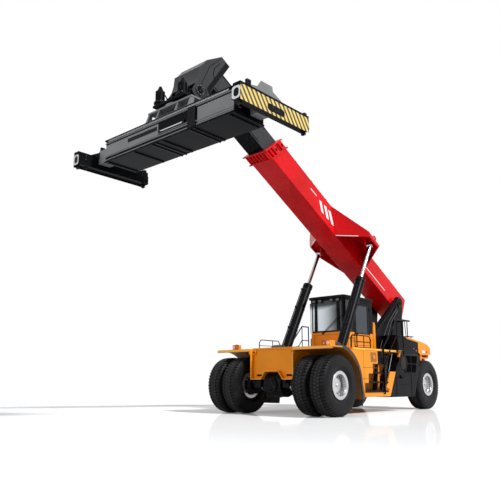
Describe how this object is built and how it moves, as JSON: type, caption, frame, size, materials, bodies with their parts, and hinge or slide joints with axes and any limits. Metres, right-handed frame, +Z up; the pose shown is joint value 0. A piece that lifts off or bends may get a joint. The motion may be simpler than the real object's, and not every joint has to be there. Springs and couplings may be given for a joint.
{
  "type": "reach stacker",
  "caption": "Wheeled container handler with a telescoping luffing boom, turning spreader with sliding end beams, central cab and steered rear wheels.",
  "frame": {"origin": "on the ground at the middle of the machine's parked length and width", "axes": "+X forwards, towards the spreader; +Y to the machine's left; +Z up"},
  "size_m": [12.22, 6.29, 9.5699],
  "materials": {
    "tyre": "matt",
    "wheel_silver": "satin",
    "axle_iron": "satin",
    "chrome_rod": "polished",
    "machine_orange": "gloss",
    "frame_black": "satin",
    "cab_glass": "clear",
    "seat_fabric": "matt",
    "console_plastic": "matt",
    "boom_red": "gloss",
    "spreader_grey": "satin",
    "plate_grey": "satin"
  },
  "bodies": {
    "chassis": {"chassis_frame": "machine_orange", "drive_axle": "axle_iron", "steer_axle": "axle_iron", "fenders": "machine_orange", "deck": "machine_orange", "body_sides": "machine_orange", "step_treads": "frame_black", "side_tanks": "frame_black", "boom_mast": "frame_black", "engine_block": "axle_iron", "hood": "machine_orange", "hood_sides": "frame_black", "counterweight": "machine_orange", "cab_shell": "machine_orange", "cab_frame": "frame_black", "cab_windows": "cab_glass", "cab_seat": "seat_fabric", "cab_console": "console_plastic", "handrails": "frame_black", "front_lamps": "machine_orange", "mirrors": "frame_black"},
    "front_wheels_left": {"front_tyres_left": "tyre", "front_rims_left": "wheel_silver"},
    "front_wheels_right": {"front_tyres_right": "tyre", "front_rims_right": "wheel_silver"},
    "knuckle_left": {"steer_knuckle_left": "axle_iron"},
    "knuckle_right": {"steer_knuckle_right": "axle_iron"},
    "steering_rod": {"steer_rod": "chrome_rod"},
    "rear_wheel_left": {"rear_tyre_left": "tyre", "rear_rim_left": "wheel_silver"},
    "rear_wheel_right": {"rear_tyre_right": "tyre", "rear_rim_right": "wheel_silver"},
    "cab_door": {"cab_door": "frame_black", "cab_door_glass": "cab_glass"},
    "outer_boom": {"outer_boom": "boom_red", "boom_collar": "boom_red", "cylinder_brackets": "boom_red"},
    "inner_boom": {"inner_boom": "spreader_grey", "boom_head": "spreader_grey"},
    "lift_barrel_left": {"lift_barrel_left": "frame_black"},
    "lift_barrel_right": {"lift_barrel_right": "frame_black"},
    "lift_rod_left": {"lift_rod_left": "chrome_rod"},
    "lift_rod_right": {"lift_rod_right": "chrome_rod"},
    "hanger": {"hanger_yoke": "spreader_grey", "slew_motors": "frame_black"},
    "rotator": {"rotator_frame": "plate_grey"},
    "spreader": {"spreader_beam": "spreader_grey"},
    "arm_left": {"arm_left": "plate_grey", "end_beam_left": "spreader_grey"},
    "arm_right": {"arm_right": "plate_grey", "end_beam_right": "spreader_grey"},
    "twistlock_front_left": {"twistlock_front_left": "axle_iron"},
    "twistlock_front_right": {"twistlock_front_right": "axle_iron"},
    "twistlock_rear_left": {"twistlock_rear_left": "axle_iron"},
    "twistlock_rear_right": {"twistlock_rear_right": "axle_iron"}
  },
  "joints": [
    {"name": "front_wheels_left_spin", "type": "hinge", "parent": "chassis", "child": "front_wheels_left", "pos_m": [1.04, 1.55, 0.8075], "axis": [0, 1, 0], "continuous": true},
    {"name": "front_wheels_right_spin", "type": "hinge", "parent": "chassis", "child": "front_wheels_right", "pos_m": [1.04, -1.55, 0.8075], "axis": [0, 1, 0], "continuous": true},
    {"name": "steer_left", "type": "hinge", "parent": "chassis", "child": "knuckle_left", "pos_m": [-4.98, 1.04, 0.8075], "axis": [0, 0, 1], "range_deg": [-40, 40]},
    {"name": "steer_right", "type": "hinge", "parent": "chassis", "child": "knuckle_right", "pos_m": [-4.98, -1.04, 0.8075], "axis": [0, 0, 1], "range_deg": [-40, 40]},
    {"name": "steer_rod_slide", "type": "slide", "parent": "chassis", "child": "steering_rod", "axis": [0, 1, 0], "range_m": [-0.2, 0.2]},
    {"name": "rear_wheel_left_spin", "type": "hinge", "parent": "knuckle_left", "child": "rear_wheel_left", "pos_m": [-4.98, 1.38, 0.8075], "axis": [0, 1, 0], "continuous": true},
    {"name": "rear_wheel_right_spin", "type": "hinge", "parent": "knuckle_right", "child": "rear_wheel_right", "pos_m": [-4.98, -1.38, 0.8075], "axis": [0, 1, 0], "continuous": true},
    {"name": "cab_door_hinge", "type": "hinge", "parent": "chassis", "child": "cab_door", "pos_m": [-2.923, 0.6725, 2.6], "axis": [0, 0, 1], "range_deg": [0, 85]},
    {"name": "boom_luff", "type": "hinge", "parent": "chassis", "child": "outer_boom", "pos_m": [-5.21, 0, 3.7], "axis": [0, -1, 0], "range_deg": [-22, 28]},
    {"name": "lift_barrel_left_hinge", "type": "hinge", "parent": "chassis", "child": "lift_barrel_left", "pos_m": [-0.23, 1.03, 1.25], "axis": [0, -1, 0], "range_deg": [-4, 4]},
    {"name": "lift_rod_left_slide", "type": "slide", "parent": "lift_barrel_left", "child": "lift_rod_left", "axis": [-0.493, 0, 0.87], "range_m": [-1.27, 1.6]},
    {"name": "lift_barrel_right_hinge", "type": "hinge", "parent": "chassis", "child": "lift_barrel_right", "pos_m": [-0.23, -1.03, 1.25], "axis": [0, -1, 0], "range_deg": [-4, 4]},
    {"name": "lift_rod_right_slide", "type": "slide", "parent": "lift_barrel_right", "child": "lift_rod_right", "axis": [-0.493, 0, 0.87], "range_m": [-1.27, 1.6]},
    {"name": "telescope", "type": "slide", "parent": "outer_boom", "child": "inner_boom", "axis": [0.8746, 0, 0.4848], "range_m": [-0.45, 6]},
    {"name": "hanger_level", "type": "hinge", "parent": "inner_boom", "child": "hanger", "pos_m": [4.79, 0, 8.28], "axis": [0, -1, 0], "range_deg": [-29, 23]},
    {"name": "slew", "type": "hinge", "parent": "hanger", "child": "rotator", "pos_m": [5.09, 0, 7.85], "axis": [0, 0, 1], "range_deg": [-105, 195]},
    {"name": "side_shift", "type": "slide", "parent": "rotator", "child": "spreader", "axis": [0, 1, 0], "range_m": [-0.8, 0.8]},
    {"name": "arm_left_out", "type": "slide", "parent": "spreader", "child": "arm_left", "axis": [0, 1, 0], "range_m": [0, 3.07]},
    {"name": "arm_right_out", "type": "slide", "parent": "spreader", "child": "arm_right", "axis": [0, -1, 0], "range_m": [0, 3.07]},
    {"name": "twistlock_rear_left_turn", "type": "hinge", "parent": "arm_left", "child": "twistlock_rear_left", "pos_m": [3.7605, 3.03, 6.745], "axis": [0, 0, 1], "range_deg": [0, 90]},
    {"name": "twistlock_rear_right_turn", "type": "hinge", "parent": "arm_right", "child": "twistlock_rear_right", "pos_m": [3.7605, -3.03, 6.745], "axis": [0, 0, 1], "range_deg": [0, 90]},
    {"name": "twistlock_front_left_turn", "type": "hinge", "parent": "arm_left", "child": "twistlock_front_left", "pos_m": [6.0195, 3.03, 6.745], "axis": [0, 0, 1], "range_deg": [0, 90]},
    {"name": "twistlock_front_right_turn", "type": "hinge", "parent": "arm_right", "child": "twistlock_front_right", "pos_m": [6.0195, -3.03, 6.745], "axis": [0, 0, 1], "range_deg": [0, 90]}
  ],
  "couplings": [
    {"joint": "steer_right", "follows": "steer_left", "ratio": 1},
    {"joint": "steer_rod_slide", "follows": "steer_left", "m_per_rad": -0.28},
    {"joint": "arm_right_out", "follows": "arm_left_out", "ratio": 1},
    {"joint": "hanger_level", "follows": "boom_luff", "ratio": -1},
    {"joint": "lift_barrel_left_hinge", "follows": "boom_luff", "ratio": 0.04924},
    {"joint": "lift_rod_left_slide", "follows": "boom_luff", "m_per_rad": 3.1933},
    {"joint": "lift_barrel_right_hinge", "follows": "boom_luff", "ratio": 0.04924},
    {"joint": "lift_rod_right_slide", "follows": "boom_luff", "m_per_rad": 3.1933},
    {"joint": "twistlock_rear_right_turn", "follows": "twistlock_rear_left_turn", "ratio": 1},
    {"joint": "twistlock_front_left_turn", "follows": "twistlock_rear_left_turn", "ratio": 1},
    {"joint": "twistlock_front_right_turn", "follows": "twistlock_rear_left_turn", "ratio": 1}
  ]
}
